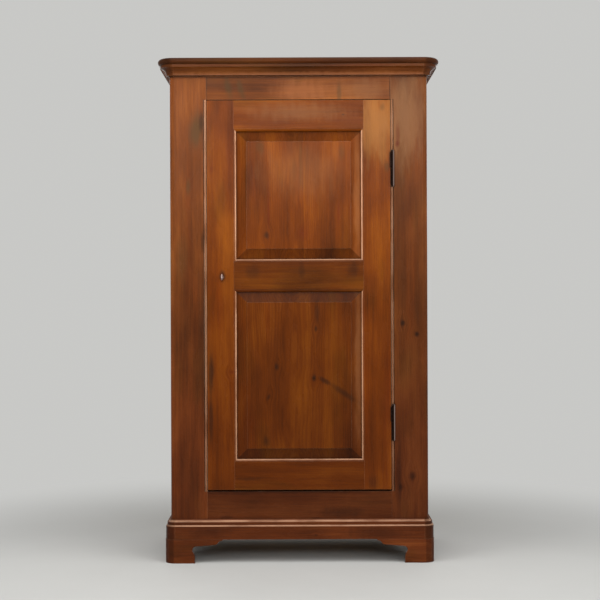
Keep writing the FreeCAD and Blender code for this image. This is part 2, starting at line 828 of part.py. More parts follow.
def make_panel(name, sight):
    """A raised and fielded panel: tongue plate, four mitred bevels and a stepped field."""
    low, high = sight
    tongue = size.stick_width
    plate_front = groove_front + size.panel_play
    plate_back = groove_back - size.panel_play
    field_root = plate_front - size.panel_bevel_fall
    field_half = sight_half - size.panel_bevel_width
    field = (low + size.panel_bevel_width, high - size.panel_bevel_width)
    plate = doc.addObject("Part::Box", f"{name}_plate")
    place(plate, -sight_half - tongue, plate_front, low - tongue)
    bind(plate, "Length", 2 * (sight_half + tongue))
    bind(plate, "Width", plate_back - plate_front)
    bind(plate, "Height", high - low + 2 * tongue)
    bevel = doc.addObject("Part::Wedge", f"{name}_bevel")
    bounds = {
        "Xmin": -field_half, "Xmax": field_half, "Ymin": field_root, "Ymax": plate_front,
        "Zmin": field[0], "Zmax": field[1],
        "X2min": -sight_half, "X2max": sight_half, "Z2min": low, "Z2max": high,
    }
    for prop, length in bounds.items():
        bind(bevel, prop, length)
    raised = doc.addObject("Part::Box", f"{name}_field")
    place(raised, -field_half, field_root - size.panel_field_step, field[0])
    bind(raised, "Length", 2 * field_half)
    bind(raised, "Width", size.panel_field_step)
    bind(raised, "Height", field[1] - field[0])
    panel = doc.addObject("Part::MultiFuse", name)
    panel.Label = name
    panel.Shapes = [plate, bevel, raised]
    panel.Refine = True
    nodes.append(panel)


def bore_keyhole(body, y_range, shank_play, slot_play):
    """A round hole with the slot for the bit below it, through a wall."""
    length = Size.of(y_range[1]) - y_range[0]
    start = (key_x, y_range[0], key_z)
    rod(body, start, length, size.key_shank_radius + shank_play, "Y", cut=True)
    slot_half = size.key_bit_thickness / 2 + slot_play
    slot = (key_z - size.key_bit_reach - slot_play, key_z)
    block(body, (key_x - slot_half, key_x + slot_half), y_range, slot, cut=True)


# ---------------------------------------------------------------- hinges

def make_hinge_half(label, centre, up, plate, strap):
    """One half of a hinge: barrel with a button, leaf let into the wood, and the strap between them."""
    half = new_body(label)
    joint = centre + up * size.knuckle_gap / 2
    tip = centre + up * size.hinge_height / 2
    outline = [
        (0, joint),
        (size.barrel_radius, joint),
        (size.barrel_radius, tip - up * size.button_height),
        (size.button_radius, tip - up * size.button_height),
        (size.button_radius, tip),
        (0, tip),
    ]
    revolve(half, barrel_x, barrel_y, outline)
    block(half, plate, (barrel_y, face + size.leaf_depth), leaf_span(centre, up))
    strap_y = (barrel_y - size.leaf_thickness / 2, barrel_y + size.leaf_thickness / 2)
    block(half, strap, strap_y, leaf_span(centre, up))
    bore_start = joint if up > 0 else joint - pin_bore_depth
    rod(half, (barrel_x, barrel_y, bore_start), pin_bore_depth, size.pin_radius + size.running_fit, cut=True)


def make_hinges():
    """Two lift-off barrel hinges: lower halves on the frame, upper halves on the door, and pins."""
    frame_plate = (opening_half, opening_half + size.leaf_thickness)
    door_plate = (door_half - size.leaf_thickness, door_half)
    for place_name, centre in hinge_centres.items():
        make_hinge_half(f"hinge_{place_name}_frame_leaf", centre, -1, frame_plate, frame_plate)
        make_hinge_half(f"hinge_{place_name}_door_leaf", centre, 1, door_plate, (door_plate[0], barrel_x))
        pin = new_body(f"hinge_{place_name}_pin")
        rod(pin, (barrel_x, barrel_y, centre - size.pin_length / 2), size.pin_length, size.pin_radius)


# ---------------------------------------------------------------- lock and key

def make_lock_case():
    case = new_body("lock_case")
    wall = size.lock_wall
    flange = (lock_range[0] - size.lock_flange, lock_range[1] + size.lock_flange)
    block(case, (lock_outer, lock_inner), (door_back, door_back + wall), flange)
    block(case, (lock_outer, lock_inner), (door_back, lock_back), lock_range)
    chamber = (lock_range[0] + wall, lock_range[1] - wall)
    block(case, (lock_outer + wall, lock_inner - wall), (door_back + wall, lock_back - wall), chamber, cut=True)
    play = size.running_fit
    mouth_y = (bolt_range_y[0] - play, bolt_range_y[1] + play)
    mouth_z = (bolt_range_z[0] - play, bolt_range_z[1] + play)
    block(case, (lock_outer, lock_outer + wall), mouth_y, mouth_z, cut=True)
    bore_keyhole(case, (door_back, door_back + wall), size.running_fit, size.keyhole_play / 2)
    rod(case, (stump_x, door_back + wall, stump_z), lock_back - door_back - 2 * wall, size.stump_radius, "Y")


def make_bolt():
    """The bolt, drawn back: a bar with the talon that the bit drives and a slot for the stump."""
    bolt = new_body("lock_bolt")
    start = lock_outer + size.bolt_end_play
    block(bolt, (start, start + size.bolt_length), bolt_range_y, bolt_range_z)
    talon_start = key_x - size.talon_lead
    talon = (talon_start, talon_start + size.talon_width)
    talon_height = (bolt_range_z[0], bolt_range_z[0] + size.talon_depth)
    block(bolt, talon, bolt_range_y, talon_height, cut=True)
    slot_half = size.stump_radius + size.stump_play
    slot = (stump_x - slot_half, stump_x + slot_half + size.bolt_throw)
    block(bolt, slot, bolt_range_y, (stump_z - slot_half, stump_z + slot_half), cut=True)


def make_key():
    key = new_body("lock_key")
    tip = lock_back - size.lock_wall - size.key_tip_gap
    neck = face - size.key_neck
    rod(key, (key_x, neck, key_z), tip - neck, size.key_shank_radius, "Y")
    collar_y = face - size.key_collar_gap - size.key_collar_width
    collar = size.key_shank_radius + size.key_collar
    rod(key, (key_x, collar_y, key_z), size.key_collar_width, collar, "Y")
    bit_half = size.key_bit_thickness / 2
    bit = (key_z - size.key_bit_reach, key_z)
    block(key, (key_x - bit_half, key_x + bit_half), bolt_range_y, bit)
    bow_half = size.key_bow_thickness / 2
    rim = size.key_bow_rim
    bow_back = neck + size.key_bow_overlap
    bow_front = bow_back - size.key_bow_width
    straight = size.key_bow_height / 2 - size.key_bow_width / 2
    middle = (bow_front + bow_back) / 2

    def oval(front, back):
        radius = (back - front) / 2
        low, high = key_z - straight, key_z + straight
        return [
            (front, low),
            (middle, low - radius, radius, 1),
            (back, low, radius, 1),
            (back, high),
            (middle, high + radius, radius, 1),
            (front, high, radius, 1),
        ]

    extrude(key, "X", key_x - bow_half, key_x + bow_half, oval(bow_front, bow_back))
    extrude(key, "X", key_x - bow_half - OVERCUT, key_x + bow_half + OVERCUT,
            oval(bow_front + rim, bow_back - rim), cut=True)


def make_keeper():
    """The iron staple on the back of the lock-side frame stile, which the bolt shoots into."""
    keeper = new_body("lock_keeper")
    wall = size.keeper_wall
    span = (keeper_outer - size.keeper_width, keeper_outer)
    hood_back = bolt_range_y[1] + size.keeper_play + wall
    block(keeper, span, (frame_back, frame_back + wall), keeper_ears)
    block(keeper, span, (frame_back, hood_back), keeper_hood)
    inside_z = (keeper_hood[0] + wall, keeper_hood[1] - wall)
    block(keeper, (span[0] + wall, span[1]), (frame_back + wall, hood_back - wall), inside_z, cut=True)


# ---------------------------------------------------------------- assembly

def make_case():
    make_frame_stile(LEFT)
    hinge_stile = make_frame_stile(RIGHT)
    seat_hinge_leaves(hinge_stile, opening_half, 1, -1)
    notch_for_barrels(hinge_stile)
    make_frame_rail("frame_top_rail", opening_top, cap_bottom)
    make_frame_rail("frame_bottom_rail", size.foot_height, opening_bottom)
    for side in SIDE_NAMES:
        make_case_side(side)
    make_back_boards()
    make_inside()
    make_cap_board()
    moulding_set("cornice", cornice_profile())
    moulding_set("base", base_profile())
    make_brackets()
    make_glue_blocks()


def make_door():
    lock_stile = make_door_stile("door_stile_lock", LEFT)
    bore_keyhole(lock_stile, (face, door_back), size.keyhole_play, size.keyhole_play / 2)
    swing_stile = make_door_stile("door_stile_hinge", RIGHT)
    seat_hinge_leaves(swing_stile, door_half, -1, 1)
    bottom, middle, top = (rail_roots[name] for name in rail_roots)
    make_door_rail("door_rail_bottom", [(bottom[1], lower_sight[0])])
    make_door_rail("door_rail_middle", [(middle[0], lower_sight[1]), (middle[1], upper_sight[0])])
    make_door_rail("door_rail_top", [(top[0], upper_sight[1])])
    make_panel("door_panel_lower", lower_sight)
    make_panel("door_panel_upper", upper_sight)


make_case()
make_door()
make_hinges()
make_lock_case()
make_bolt()
make_key()
make_keeper()

doc.recompute()


# ---------------------------------------------------------------- checks and export

def check_and_export():
    failed = [item.Name for item in doc.Objects if {"Invalid", "Error"} & set(item.State)]
    if failed:
        raise RuntimeError(f"features that did not build: {failed}")
    for node in nodes:
        if node.Shape.isNull() or not node.Shape.isValid():
            raise RuntimeError(f"{node.Label} has no valid shape")
    os.makedirs("parts", exist_ok=True)
    for node in nodes:
        node.Shape.exportStep(f"parts/{node.Label}.step")
    print(f"{len(nodes)} nodes written")


check_and_export()
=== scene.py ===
import math
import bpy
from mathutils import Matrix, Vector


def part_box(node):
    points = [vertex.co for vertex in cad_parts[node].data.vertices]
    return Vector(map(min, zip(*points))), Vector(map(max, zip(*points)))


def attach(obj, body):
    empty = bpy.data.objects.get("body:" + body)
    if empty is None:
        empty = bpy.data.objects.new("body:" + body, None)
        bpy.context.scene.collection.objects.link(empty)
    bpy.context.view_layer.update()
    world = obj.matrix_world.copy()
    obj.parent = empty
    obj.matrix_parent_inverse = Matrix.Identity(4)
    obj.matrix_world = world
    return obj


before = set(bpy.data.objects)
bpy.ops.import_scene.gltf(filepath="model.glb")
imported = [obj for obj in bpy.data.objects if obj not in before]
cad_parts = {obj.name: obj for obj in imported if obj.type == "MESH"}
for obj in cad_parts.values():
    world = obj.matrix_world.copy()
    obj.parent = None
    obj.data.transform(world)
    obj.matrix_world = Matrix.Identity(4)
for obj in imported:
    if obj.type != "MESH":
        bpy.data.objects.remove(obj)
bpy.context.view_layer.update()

from types import SimpleNamespace

import bpy
from mathutils import Matrix, Vector

# A bonnetiere in varnished fruitwood. Metres; +Z up, the front faces -Y.
# Every node of the frame keeps its shape. Each wooden one gets a material of its own, and the
# iron and steel share four. The only forms that are made here are the heads of the screws.

# ---------------------------------------------------------------- the photograph

# The camera stands in front of the door, as a pinhole of this focal length in pixels. It is
# level, but for a slight roll that leans the upright lines to the left.
PHOTO_SIDE = 600
FOCAL_LENGTH = 1250
SENSOR_WIDTH = 36
EYE_HEIGHT = 0.943
EYE_DISTANCE = 4.5
EYE_SIDE = 0.0036
LEVEL_TILT = math.radians(90)
ROLL = math.radians(0.22)

FACE_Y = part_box("frame_top_rail")[0].y


def on_face(pixel_x, pixel_y):
    """The place on the cabinet's front plane, as (x, z), that a pixel of the photograph shows."""
    right, down = pixel_x - PHOTO_SIDE / 2, pixel_y - PHOTO_SIDE / 2
    level_right = right * math.cos(ROLL) - down * math.sin(ROLL)
    level_down = right * math.sin(ROLL) + down * math.cos(ROLL)
    scale = EYE_DISTANCE / FOCAL_LENGTH
    return EYE_SIDE + level_right * scale, EYE_HEIGHT - level_down * scale


def srgb(red, green, blue):
    """A colour given as 0 to 255 screen values, in the linear values that shaders take."""
    def linear(value):
        value /= 255
        return value / 12.92 if value <= 0.04045 else ((value + 0.055) / 1.055) ** 2.4
    return (linear(red), linear(green), linear(blue), 1.0)


# ---------------------------------------------------------------- node building

# A surface is as square as the largest part of its normal along an axis. It comes to count as
# slanting from the first of these to the second, and as facing up over so much of its normal.
SLANTING_SQUARENESS = (0.965, 0.93)
UPWARD_BLEND = 0.3


class Shade:
    """Builds one material. Most methods add nodes and return the socket that they give."""

    def __init__(self, name):
        self.material = bpy.data.materials.new(name)
        self.material.use_nodes = True
        self.tree = self.material.node_tree
        self.tree.nodes.clear()
        self.output = self.tree.nodes.new("ShaderNodeOutputMaterial")

    def feed(self, socket, value):
        """Links a socket to another one, or sets it to a plain value."""
        if isinstance(value, bpy.types.NodeSocket):
            self.tree.links.new(value, socket)
        else:
            socket.default_value = value

    def node(self, kind, inputs=None, **settings):
        node = self.tree.nodes.new(kind)
        for name, value in settings.items():
            setattr(node, name, value)
        for name, value in (inputs or {}).items():
            self.feed(node.inputs[name], value)
        return node

    def math(self, operation, a, b=0.0, c=0.0, clamp=False):
        inputs = {0: a, 1: b, 2: c}
        return self.node("ShaderNodeMath", inputs, operation=operation, use_clamp=clamp).outputs[0]

    def span(self, value, low, high, to_low=0.0, to_high=1.0):
        """value, taken smoothly from low..high to to_low..to_high, and held at the ends."""
        inputs = {"Value": value, "From Min": low, "From Max": high,
                  "To Min": to_low, "To Max": to_high}
        node = self.node("ShaderNodeMapRange", inputs, interpolation_type="SMOOTHSTEP")
        return node.outputs["Result"]

    def gather(self, start, parts):
        """start, plus the swing of each field about its middle of 0.5, times the field's weight."""
        value = start - sum(weight for field, weight in parts) / 2
        for field, weight in parts:
            value = self.math("MULTIPLY_ADD", field, weight, value)
        return value

    def mix(self, factor, a, b, blend="MIX"):
        node = self.node("ShaderNodeMix", data_type="RGBA", blend_type=blend)
        colour_inputs = [socket for socket in node.inputs if socket.type == "RGBA"]
        self.feed(node.inputs[0], factor)
        self.feed(colour_inputs[0], a)
        self.feed(colour_inputs[1], b)
        return next(socket for socket in node.outputs if socket.type == "RGBA")

    def darken(self, colour, factor):
        """colour, with as much of its light left as factor says."""
        grey = self.vector(factor, factor, factor)
        return self.mix(1.0, colour, grey, blend="MULTIPLY")

    def ramp(self, value, stops):
        """A colour that follows value through the stops, given as (place, colour)."""
        node = self.node("ShaderNodeValToRGB", {"Fac": value})
        elements = node.color_ramp.elements
        while len(elements) < len(stops):
            elements.new(0.5)
        for element, (place, colour) in zip(elements, stops):
            element.position = place
            element.color = colour
        return node.outputs["Color"]

    def vector(self, x, y, z):
        return self.node("ShaderNodeCombineXYZ", {0: x, 1: y, 2: z}).outputs[0]

    def moved(self, point, by):
        return self.node("ShaderNodeVectorMath", {0: point, 1: by}, operation="ADD").outputs[0]

    def place(self):
        """The point's place in the cabinet's own frame, by the name of each axis."""
        coordinates = self.node("ShaderNodeTexCoord").outputs["Object"]
        return dict(zip("XYZ", self.node("ShaderNodeSeparateXYZ", {0: coordinates}).outputs))

    def facing(self):
        """How far the surface faces along each axis, from -1 to 1, by the name of the axis."""
        normal = self.node("ShaderNodeTexCoord").outputs["Normal"]
        return dict(zip("XYZ", self.node("ShaderNodeSeparateXYZ", {0: normal}).outputs))

    def noise(self, point, scales, detail=2.0, roughness=0.5):
        """Soft noise about 0.5, with its own scale, in cycles per metre, along each direction."""
        scaled = self.node("ShaderNodeVectorMath", {0: point, 1: scales}, operation="MULTIPLY")
        inputs = {"Vector": scaled.outputs[0], "Scale": 1.0, "Detail": detail,
                  "Roughness": roughness}
        return self.node("ShaderNodeTexNoise", inputs).outputs["Fac"]

    def rubbed_and_lit_mouldings(self, axes, rubbed_and_lit):
        """1 on slanting mouldings, rubbed and with a painted highlight; 0 on flats and out of
        reach.
        """
        facing = self.facing()
        squareness = 0.0
        for part in facing.values():
            squareness = self.math("MAXIMUM", squareness, self.math("ABSOLUTE", part))
        slanting = self.span(squareness, *SLANTING_SQUARENESS)
        upward = self.span(facing["Z"], rubbed_and_lit.least_up, rubbed_and_lit.least_up + UPWARD_BLEND)
        within = self.math("LESS_THAN", self.math("ABSOLUTE", axes["X"]), rubbed_and_lit.half_width)
        return self.math("MULTIPLY", slanting, self.math("MULTIPLY", upward, within))

    def rounded(self, radius):
        """The normal, as if every arris were rubbed to this radius."""
        return self.node("ShaderNodeBevel", {"Radius": radius}, samples=4).outputs[0]

    def arris_wear(self, rounded, arris):
        """How strongly wear and a painted highlight show: 0 on a flat, the arris's own strength
        where it is sharp.

        The rounded normal turns away from the true one near an arris, so the two agree less.
        """
        normal = self.node("ShaderNodeNewGeometry").outputs["Normal"]
        agreeing = self.node("ShaderNodeVectorMath", {0: rounded, 1: normal},
                             operation="DOT_PRODUCT").outputs["Value"]
        return self.math("MULTIPLY", self.span(agreeing, arris.flat, arris.sharp), arris.wear)

    def bumped(self, height, normal, strength, distance):
        inputs = {"Strength": strength, "Distance": distance, "Height": height, "Normal": normal}
        return self.node("ShaderNodeBump", inputs).outputs[0]

    def finish(self, surface):
        self.tree.links.new(surface, self.output.inputs["Surface"])
        return self.material


# ---------------------------------------------------------------- marks in the wood

SOOT = srgb(46, 28, 16)
OLIVE = srgb(78, 56, 30)
RUST = srgb(98, 36, 12)
HONEY = srgb(166, 116, 62)
# Painted light: peach and sand are a pale sheen and highlight, laid where light from above catches
# the upper pieces and the cornice's lip.
PAINTED_PEACH_SHEEN = srgb(170, 104, 62)
PAINTED_SAND_SHEEN = srgb(142, 96, 60)
# Painted light: amber lightens the panels' right bevels, where light from the right falls.
PAINTED_AMBER_LIGHT = srgb(150, 92, 50)

# A mark fades in between these distances from its middle, in half-widths.
MARK_FADE = (1.6, 0.2)

# The grain bows round a knot over this many widths of it. The place at which the grain is read
# moves towards the knot by this share, and so its lines move away.
KNOT_REACH = 3.2
KNOT_PUSH = -0.8


def stain(pixel, width, length, strength, colour=SOOT, lean=0):
    """A soft patch of another colour. Its top leans to the left by that many degrees."""
    return SimpleNamespace(at=on_face(*pixel), width=width, length=length, strength=strength,
                           colour=colour, lean=math.radians(lean), bends=False)


def knot(pixel, width, strength, stretch=1.5, colour=SOOT, lean=0):
    """A pin knot: a dark eye, so many times as high as wide, with the grain bent round it."""
    mark = stain(pixel, width, width * stretch, strength, colour, lean)
    mark.bends = True
    return mark


def spot(shade, axes, mark, grow=1.0, ragged=0.0):
    """How strongly a mark colours a point: 1 in its middle, 0 outside it."""
    right = shade.math("SUBTRACT", axes["X"], mark.at[0])
    up = shade.math("SUBTRACT", axes["Z"], mark.at[1])
    cosine, sine = math.cos(mark.lean), math.sin(mark.lean)
    across = shade.math("MULTIPLY_ADD", up, sine, shade.math("MULTIPLY", right, cosine))
    along = shade.math("MULTIPLY_ADD", right, -sine, shade.math("MULTIPLY", up, cosine))
    across = shade.math("DIVIDE", across, mark.width * grow / 2)
    along = shade.math("DIVIDE", along, mark.length * grow / 2)
    squares = shade.math("MULTIPLY_ADD", across, across, shade.math("MULTIPLY", along, along))
    reach = shade.math("ADD", shade.math("SQRT", squares), ragged)
    return shade.span(reach, *MARK_FADE)


def bend_round(shade, across, axes, letter, knots):
    """The place across the grain, with the grain lines bowed out round each knot."""
    for mark in knots:
        centre = mark.at[0] if letter == "X" else mark.at[1]
        offset = shade.math("SUBTRACT", axes[letter], centre)
        around = spot(shade, axes, mark, grow=KNOT_REACH)
        push = shade.math("MULTIPLY", offset, shade.math("MULTIPLY", around, KNOT_PUSH))
        across = shade.math("ADD", across, push)
    return across


# ---------------------------------------------------------------- wood

# Which axes run across, into and along the grain of a piece.
UPRIGHT = "XYZ"
LEVEL = "ZYX"
UPRIGHT_SIDE = "YXZ"
LEVEL_SIDE = "ZXY"
FLAT = "YZX"

# light, middle, dark and pore are the colours of the grain. The worn colour is that of rubbed
# places and of painted highlights, and the wear strength says how strongly it shows there. bands,
# clouds and streaks say how far these fields of the grain swing the colour, and figure how far the
# growth rings do, which stand ring_gap apart. end_grain is the share of its light that end grain
# keeps, the foot shade that of the wood at the floor, as painted shade, and the foot green the
# share of its green there.
VARNISHED = SimpleNamespace(
    light=srgb(152, 82, 16), middle=srgb(113, 52.5, 7), dark=srgb(66, 28, 4.5),
    pore=srgb(44, 18, 5), worn_and_highlight=srgb(208, 157, 123), wear=0.92,
    bands=0.50, clouds=0.95, streaks=0.22, figure=0.08, ring_gap=0.0045,
    end_grain=0.62, foot_tone=0.66, foot_green=0.95, roughness=0.27, specular=0.09)
BARE = SimpleNamespace(
    light=srgb(206, 170, 124), middle=srgb(182, 142, 96), dark=srgb(140, 100, 62),
    pore=srgb(112, 78, 46), worn_and_highlight=srgb(214, 184, 144), wear=0.25,
    bands=0.50, clouds=0.60, streaks=0.50, figure=0.42, ring_gap=0.0052,
    end_grain=0.75, foot_tone=0.85, foot_green=1.0, roughness=0.62, specular=0.25)


def varied(look, **changes):
    return SimpleNamespace(**{**vars(look), **changes})


BROWNER = varied(VARNISHED, light=srgb(150, 86, 36), middle=srgb(110, 57, 21),
                 dark=srgb(62, 31, 12), foot_tone=0.56, foot_green=0.84)
DULLER = varied(BROWNER, roughness=0.55)

# The fields of the grain. Each is a noise, with its cycles per metre across, into and along it.
FIELDS = dict(
    bands=dict(scales=(24, 24, 0.9)),
    clouds=dict(scales=(9, 9, 3.4), detail=3),
    streaks=dict(scales=(85, 85, 2.0), detail=3, roughness=0.6),
    threads=dict(scales=(300, 300, 6)),
    fibres=dict(scales=(850, 850, 14), roughness=0.6),
    ripple=dict(scales=(40, 40, 4)),
    pores=dict(scales=(1100, 1100, 30), detail=1),
    greener=dict(scales=(11, 11, 3), detail=3),
    redder=dict(scales=(14, 14, 1.6), detail=2),
    patches=dict(scales=(30, 30, 9), detail=3),
)

# How the fields colour the wood. A span says between which values of a field something grows,
# and where it has four numbers, from what to what. The stops are those of dark, middle and light.
THREADS_SWING = 0.26
FIBRES_SWING = 0.20
GRAIN_STOPS = (0.12, 0.5, 0.9)
GREEN_CAST = (0.70, 0.92, 0.85, 1)
GREEN_SPAN = (0.52, 0.70, 0.0, 0.45)
RED_CAST = (1.0, 0.78, 0.62, 1)
RED_SPAN = (0.54, 0.72, 0.0, 0.5)
PORE_SPAN = (0.66, 0.74)
PORE_STRENGTH = 0.35
END_GRAIN_SPAN = (0.05, 0.20)

# How the fields raise it.
RELIEF = dict(fibres=0.5, streaks=0.4, ripple=0.9)
RELIEF_BUMP = dict(strength=0.20, distance=0.0006)

# The grain sways from side to side. Every piece reads the fields at a drift of its own, worked
# out from its seed, and boards that are glued edge to edge read them this far apart.
SWAY = dict(scales=(5, 5, 1.1))
SWAY_WIDTH = 0.05
DRIFT_STEPS = (1.37, 2.11, 3.73)
DRIFT_SPANS = (7, 5, 11)
BOARD_APART = 4.7

# The rings are centred on a pith behind the piece, as deep as the nearest and part of the spread.
PITH_NEAREST = 0.07
PITH_SPREAD = 0.10
PITH_STEP = 0.61
RING_RIPPLE = 0.006
RING_WANDER = 0.02

# Marks have a ragged outline.
RAGGED = dict(scales=(60, 60, 14))
RAGGED_SWING = 1.3

# Painted shade: from the floor up, the wood is painted lighter between these heights, and greener
# between those, for the light that falls off towards the floor.
PAINTED_SHADE_HEIGHTS = (0.0, 1.75)
PAINTED_GREEN_HEIGHTS = (0.3, 1.1)

# Where wear and painted highlights, dust, and painted shade in hollows and joins show, and how
# strongly.
WOOD_ARRIS = SimpleNamespace(radius=0.0015, flat=0.995, sharp=0.90, wear=0.35)
WEAR_AND_HIGHLIGHT_SPAN = (0.25, 0.60)
LEAST_WEAR_AND_HIGHLIGHT = 0.3
# Painted shade: the wood is darkened within this reach of hollows, creases and joins.
PAINTED_SHADE_REACH = 0.012
PAINTED_SHADE_SPAN = (0.15, 0.90, 0.42, 1.0)
DUST_SPAN = (0.70, 0.98, 0.0, 0.40)
PATCHES_ROUGHNESS = 0.20


def lay_grain(shade, axes, grain, seed, marks, joins):
    """The place across the grain, that into it, and the point at which its fields are read."""
    across, depth, along = (axes[letter] for letter in grain)
    across = bend_round(shade, across, axes, grain[0], [mark for mark in marks if mark.bends])
    for join in joins:
        beyond = shade.math("GREATER_THAN", axes[grain[0]], join)
        along = shade.math("MULTIPLY_ADD", beyond, BOARD_APART, along)
    drift = Vector([seed * step % span for step, span in zip(DRIFT_STEPS, DRIFT_SPANS)])
    straight = shade.moved(shade.vector(across, depth, along), drift)
    sway = shade.noise(straight, **SWAY)
    across = shade.math("MULTIPLY_ADD", sway, SWAY_WIDTH, across)
    return across, depth, shade.moved(shade.vector(across, depth, along), drift)


def growth_rings(shade, look, seed, across, depth, fields):
    """A field that swings once from ring to ring."""
    pith_depth = PITH_NEAREST + (seed * PITH_STEP % 1) * PITH_SPREAD
    sunk = shade.math("ADD", depth, pith_depth)
    squares = shade.math("MULTIPLY_ADD", across, across, shade.math("MULTIPLY", sunk, sunk))
    radius = shade.math("MULTIPLY_ADD", fields.ripple, RING_RIPPLE, shade.math("SQRT", squares))
    radius = shade.math("MULTIPLY_ADD", fields.clouds, RING_WANDER, radius)
    turns = shade.math("MULTIPLY", radius, 2 * math.pi / look.ring_gap)
    return shade.math("MULTIPLY_ADD", shade.math("SINE", turns), 0.5, 0.5)


def grain_colour(shade, look, fields, rings):
    """The colour of clean wood: its bands, clouds and threads, its tints and its pores."""
    lightness = shade.gather(0.5, [
        (fields.bands, look.bands), (fields.clouds, look.clouds), (fields.streaks, look.streaks),
        (fields.threads, THREADS_SWING), (fields.fibres, FIBRES_SWING), (rings, look.figure)])
    stops = list(zip(GRAIN_STOPS, (look.dark, look.middle, look.light)))
    colour = shade.ramp(lightness, stops)
    greener = shade.span(fields.greener, *GREEN_SPAN)
    colour = shade.mix(greener, colour, GREEN_CAST, blend="MULTIPLY")
    redder = shade.span(fields.redder, *RED_SPAN)
    colour = shade.mix(redder, colour, RED_CAST, blend="MULTIPLY")
    pores = shade.math("MULTIPLY", shade.span(fields.pores, *PORE_SPAN), PORE_STRENGTH)
    return shade.mix(pores, colour, look.pore)


def mark_wood(shade, axes, colour, marks):
    """colour, with the marks laid over it."""
    ragged = shade.noise(shade.vector(*axes.values()), **RAGGED)
    ragged = shade.gather(0.0, [(ragged, RAGGED_SWING)])
    for mark in marks:
        here = spot(shade, axes, mark, ragged=ragged)
        here = shade.math("MULTIPLY", here, mark.strength, clamp=True)
        colour = shade.mix(here, colour, mark.colour)
    return colour


def painted_height_shade(shade, look, axes, tone):
    """Painted shade: how much light the wood is given at a height, and how much is left in its
    green.
    """
    light = shade.span(axes["Z"], *PAINTED_SHADE_HEIGHTS, look.foot_tone * tone, tone)
    green = shade.span(axes["Z"], *PAINTED_GREEN_HEIGHTS, look.foot_green, 1.0)
    return light, shade.math("MULTIPLY", light, green)


def wood(name, look, grain, seed, marks, joins, tone, rubbed_and_lit):
    """A wood material whose grain runs the way that the named axes say.

    joins are the places across at which boards are glued edge to edge, tone lightens or darkens
    the whole piece, and the last argument says which parts of its mouldings are worn light, with a
    painted highlight.
    """
    shade = Shade(name)
    axes = shade.place()
    facing = shade.facing()
    across, depth, point = lay_grain(shade, axes, grain, seed, marks, joins)
    fields = SimpleNamespace(
        **{field: shade.noise(point, **noise) for field, noise in FIELDS.items()})
    rings = growth_rings(shade, look, seed, across, depth, fields)
    colour = grain_colour(shade, look, fields, rings)
    colour = mark_wood(shade, axes, colour, marks)

    end_facing = shade.math("ABSOLUTE", facing[grain[2]])
    colour = shade.darken(colour, shade.span(end_facing, *END_GRAIN_SPAN, 1.0, look.end_grain))
    # Painted shade: the wood is darkened, and its green lessened, towards the floor.
    light, green = painted_height_shade(shade, look, axes, tone)
    colour = shade.mix(1.0, colour, shade.vector(light, green, light), blend="MULTIPLY")

    rounded = shade.rounded(WOOD_ARRIS.radius)
    arris_wear = shade.arris_wear(rounded, WOOD_ARRIS)
    # Wear and painted highlights: rubbed arrises and upward mouldings take a pale, pinkish colour
    # that stands for both.
    wear = shade.math("MAXIMUM", shade.rubbed_and_lit_mouldings(axes, rubbed_and_lit), arris_wear)
    patchy = shade.span(fields.patches, *WEAR_AND_HIGHLIGHT_SPAN, LEAST_WEAR_AND_HIGHLIGHT * look.wear, look.wear)
    wear = shade.math("MULTIPLY", wear, patchy)
    colour = shade.mix(wear, colour, shade.darken(look.worn_and_highlight, light))
    # Painted shade: ambient occlusion darkens the wood in hollows, creases and joins.
    painted_shade = shade.node("ShaderNodeAmbientOcclusion", {"Distance": PAINTED_SHADE_REACH}, samples=6)
    colour = shade.darken(colour, shade.span(painted_shade.outputs["AO"], *PAINTED_SHADE_SPAN))

    relief = shade.gather(0.5, [(getattr(fields, field), share)
                                for field, share in RELIEF.items()])
    dust = shade.span(facing["Z"], *DUST_SPAN)
    varnish = shade.gather(look.roughness, [(fields.patches, PATCHES_ROUGHNESS)])
    surface = shade.node("ShaderNodeBsdfPrincipled", {
        "Base Color": colour,
        "Roughness": shade.math("ADD", dust, varnish),
        "Normal": shade.bumped(relief, rounded, **RELIEF_BUMP),
        "Specular IOR Level": look.specular,
    })
    return shade.finish(surface.outputs[0])


# ---------------------------------------------------------------- metal

MOTTLE = dict(scales=(180, 180, 180), detail=4, roughness=0.6)
MOTTLE_SPAN = (0.35, 0.70)
MOTTLE_ROUGHNESS = 0.35
MOTTLE_BUMP = dict(strength=0.2, distance=0.0003)
METAL_ARRIS = SimpleNamespace(radius=0.0006, flat=0.99, sharp=0.85, wear=0.35)
# Painted highlight: where the metal faces right by this much, it is painted brighter.
LIT_SIDE_SPAN = (0.05, 0.45)


def metal(name, base, blotch, worn_and_highlight, roughness, side_wear=0.0):
    """A handled metal: mottled, and brighter along its worn arrises.

    The side argument says how strongly a painted highlight shows where the metal faces right, on
    +X, too.
    """
    shade = Shade(name)
    mottle = shade.noise(shade.vector(*shade.place().values()), **MOTTLE)
    colour = shade.mix(shade.span(mottle, *MOTTLE_SPAN), base, blotch)
    rounded = shade.rounded(METAL_ARRIS.radius)
    colour = shade.mix(shade.arris_wear(rounded, METAL_ARRIS), colour, worn_and_highlight)
    # Painted highlight: the metal is painted brighter where it faces right, towards the light on
    # that side.
    lit_side = shade.span(shade.facing()["X"], *LIT_SIDE_SPAN, 0.0, side_wear)
    colour = shade.mix(lit_side, colour, worn_and_highlight)
    surface = shade.node("ShaderNodeBsdfPrincipled", {
        "Base Color": colour,
        "Metallic": 1.0,
        "Roughness": shade.gather(roughness, [(mottle, MOTTLE_ROUGHNESS)]),
        "Normal": shade.bumped(mottle, rounded, **MOTTLE_BUMP),
    })
    return shade.finish(surface.outputs[0])


